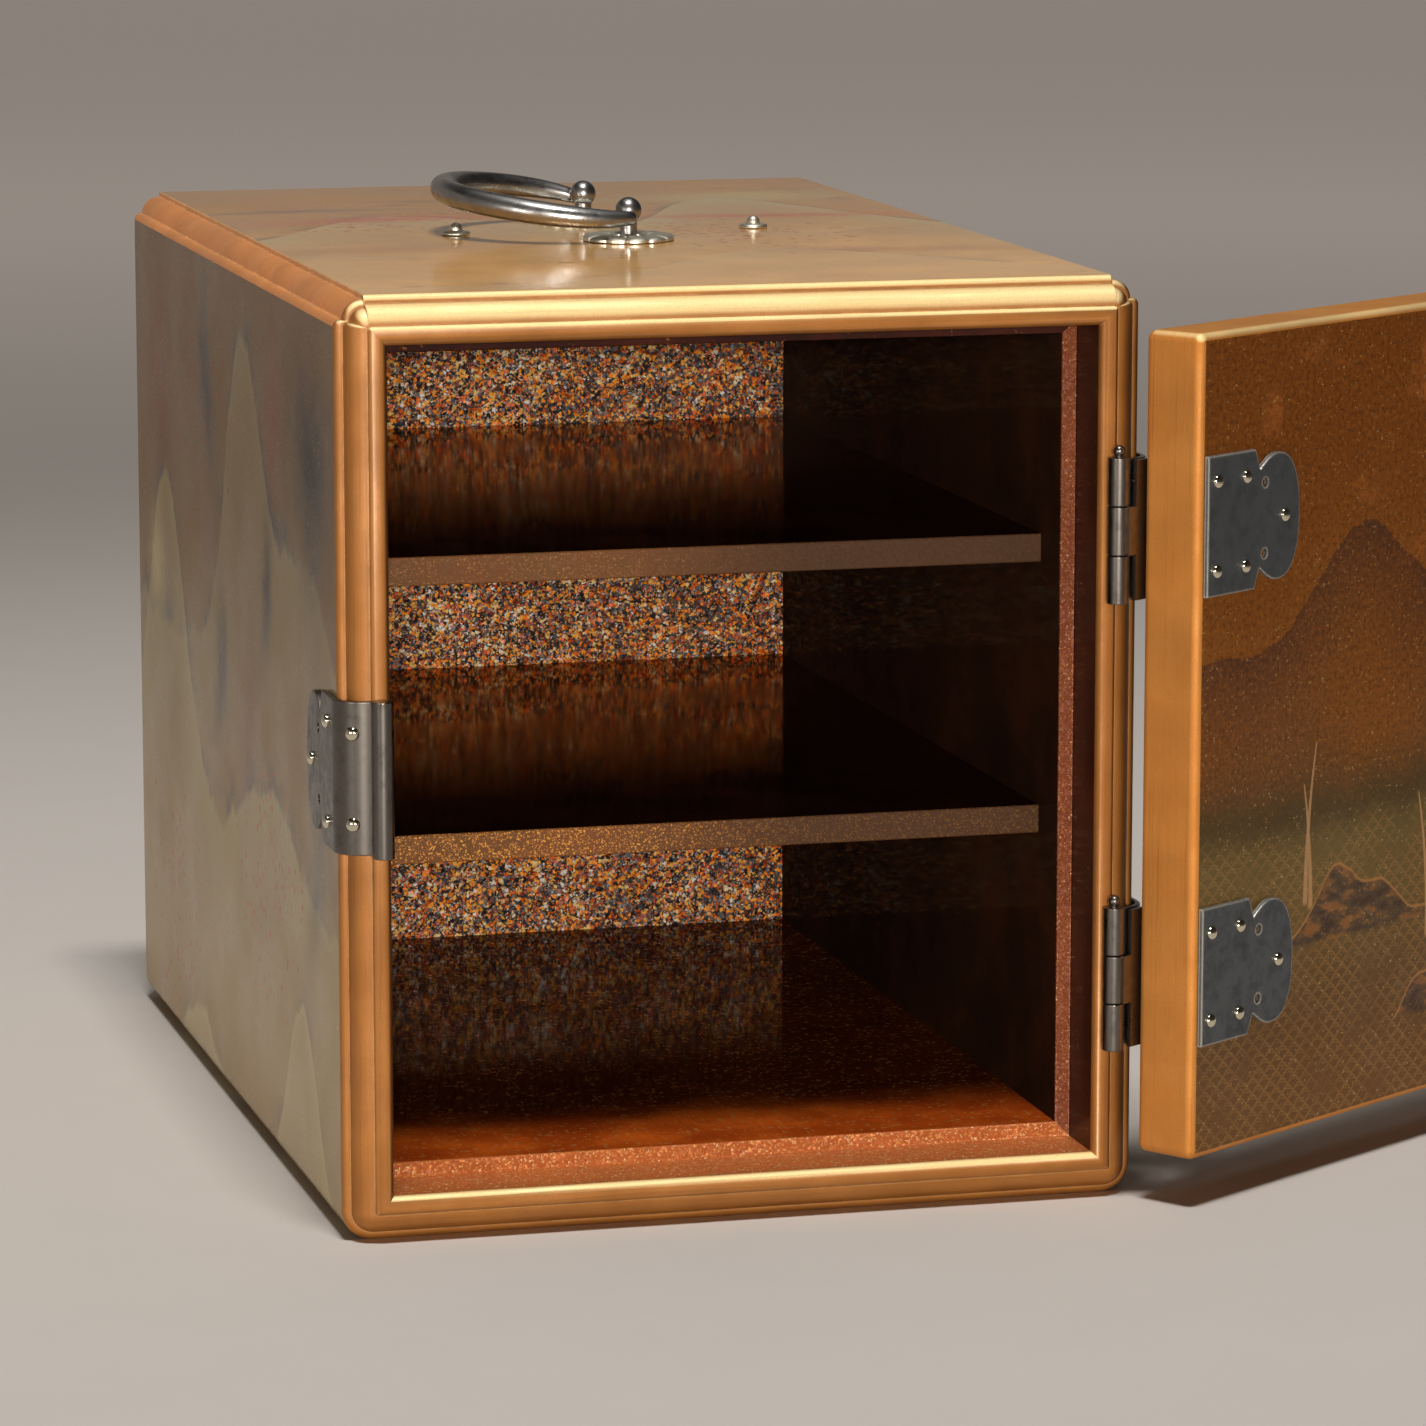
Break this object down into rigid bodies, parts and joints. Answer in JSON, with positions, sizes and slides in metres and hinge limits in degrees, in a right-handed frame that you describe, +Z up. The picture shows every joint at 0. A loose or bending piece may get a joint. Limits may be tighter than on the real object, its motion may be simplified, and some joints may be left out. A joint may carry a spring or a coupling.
{
  "type": "lacquer cabinet",
  "caption": "Small gold-lacquered standing cabinet with a hinged front door, fixed shelves and a folding ring handle on its top.",
  "frame": {"origin": "centre of the flat underside", "axes": "+Z up, -Y towards the open front, +X towards the side that the door hangs on"},
  "size_m": [0.1414, 0.1237, 0.0978],
  "materials": {
    "gold_lacquer": "lacquered wood with sprinkled gold, polished",
    "dark_lacquer": "near-black polished lacquer on wood",
    "silver": "polished silver with a grey tarnish",
    "dark_silver": "dark patinated silver",
    "pale_silver": "pale gilt silver"
  },
  "bodies": {
    "case": {"case": "gold_lacquer", "shelf_lower": "dark_lacquer", "shelf_upper": "dark_lacquer", "catch_plate": "silver", "hinge_case_leaf_lower": "silver", "hinge_pin_lower": "silver", "nail_case_leaf_lower_1": "pale_silver", "nail_case_leaf_lower_2": "pale_silver", "nail_case_leaf_lower_3": "pale_silver", "nail_case_leaf_lower_4": "pale_silver", "nail_case_leaf_lower_5": "pale_silver", "hinge_case_leaf_upper": "silver", "hinge_pin_upper": "silver", "nail_case_leaf_upper_1": "pale_silver", "nail_case_leaf_upper_2": "pale_silver", "nail_case_leaf_upper_3": "pale_silver", "nail_case_leaf_upper_4": "pale_silver", "nail_case_leaf_upper_5": "pale_silver", "nail_catch_1": "pale_silver", "nail_catch_2": "pale_silver", "nail_catch_3": "pale_silver", "nail_catch_4": "pale_silver", "nail_catch_5": "pale_silver", "handle_post_front": "silver", "handle_rosette_front": "pale_silver", "handle_post_back": "silver", "handle_rosette_back": "pale_silver", "stop_stud_left": "silver", "stop_stud_right": "silver"},
    "door": {"door": "gold_lacquer", "hinge_door_leaf_lower": "silver", "door_plate_lower": "dark_silver", "nail_door_leaf_lower_1": "pale_silver", "nail_door_leaf_lower_2": "pale_silver", "nail_door_leaf_lower_3": "pale_silver", "nail_door_plate_lower_1": "pale_silver", "nail_door_plate_lower_2": "pale_silver", "nail_door_plate_lower_3": "pale_silver", "nail_door_plate_lower_4": "pale_silver", "nail_door_plate_lower_5": "pale_silver", "hinge_door_leaf_upper": "silver", "door_plate_upper": "dark_silver", "nail_door_leaf_upper_1": "pale_silver", "nail_door_leaf_upper_2": "pale_silver", "nail_door_leaf_upper_3": "pale_silver", "nail_door_plate_upper_1": "pale_silver", "nail_door_plate_upper_2": "pale_silver", "nail_door_plate_upper_3": "pale_silver", "nail_door_plate_upper_4": "pale_silver", "nail_door_plate_upper_5": "pale_silver"},
    "handle": {"handle_ring": "silver"}
  },
  "joints": [
    {"name": "door_hinge", "type": "hinge", "parent": "case", "child": "door", "pos_m": [0.0368, -0.0596, 0.0459], "axis": [0, 0, 1], "range_deg": [-214.3, 3.5]},
    {"name": "handle_swing", "type": "hinge", "parent": "case", "child": "handle", "pos_m": [0, 0, 0.0943], "axis": [0, 1, 0], "range_deg": [-6.2, 172.2]}
  ]
}
